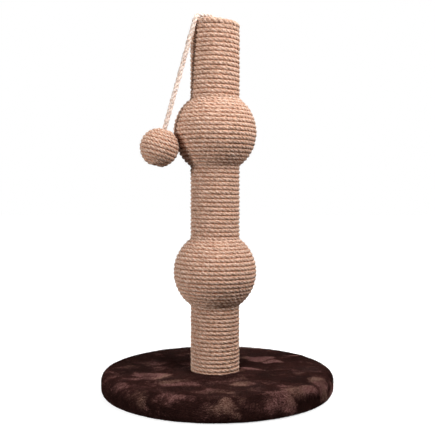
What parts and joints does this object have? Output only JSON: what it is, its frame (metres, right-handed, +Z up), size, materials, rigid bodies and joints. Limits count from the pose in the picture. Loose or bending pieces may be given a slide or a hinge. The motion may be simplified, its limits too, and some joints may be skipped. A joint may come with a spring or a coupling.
{
  "type": "cat scratching post",
  "caption": "Rope-wound scratching post with two round swellings on a round plush base, with a rope-wound toy ball hanging from the top on a cord.",
  "frame": {"origin": "on the floor under the middle of the round base", "axes": "+Z up along the post; the front is towards -Y and the toy hangs on the -X side"},
  "size_m": [0.3, 0.3, 0.4852],
  "materials": {
    "plush": "dark brown mottled long-pile plush",
    "felt": "dark non-woven felt",
    "rope": "three-strand twisted natural fibre rope",
    "toy_rope": "thin three-strand twisted natural fibre rope",
    "cord": "pale three-strand twisted cord",
    "chipboard": "raw chipboard",
    "wood": "raw pine",
    "cardboard": "spiral-wound grey-brown cardboard",
    "pulp": "moulded paper pulp",
    "toy_core": "pressed paper ball",
    "steel": "zinc-plated steel"
  },
  "bodies": {
    "root": {"underside_sheet": "felt", "base_board": "chipboard", "plush_cover": "plush", "cover_staples": "steel", "base_bolt": "steel", "base_washer": "steel", "threaded_insert": "steel", "lower_plug": "wood", "upper_plug": "wood", "plug_nails": "steel", "post_tube": "cardboard", "top_disc": "felt", "upper_ball_front_shell": "pulp", "upper_ball_back_shell": "pulp", "lower_ball_front_shell": "pulp", "lower_ball_back_shell": "pulp", "bottom_rope": "rope", "lower_ball_rope": "rope", "middle_rope": "rope", "upper_ball_rope": "rope", "top_rope": "rope", "cord_knot": "cord", "cord_in_plug": "cord", "cord_over_rim": "cord"},
    "cord_swing": {"cord_link": "cord"},
    "toy_cord": {"hanging_cord": "cord", "toy_knot": "cord"},
    "toy_ball": {"toy_ball_core": "toy_core", "toy_ball_rope": "toy_rope"}
  },
  "joints": [
    {"name": "toy_swing_side", "type": "hinge", "parent": "root", "child": "cord_swing", "pos_m": [-0.02727, -0.02288, 0.466], "axis": [-0.9865, -0.1639, 0], "range_deg": [0, 80]},
    {"name": "toy_swing_out", "type": "hinge", "parent": "cord_swing", "child": "toy_cord", "pos_m": [-0.03101, -0.02351, 0.45252], "axis": [-0.1639, 0.9865, 0], "range_deg": [0, 75]},
    {"name": "toy_twist", "type": "hinge", "parent": "toy_cord", "child": "toy_ball", "pos_m": [-0.06938, -0.02988, 0.3144], "axis": [-0.2674, -0.0444, -0.9626], "range_deg": [-180, 180]}
  ]
}
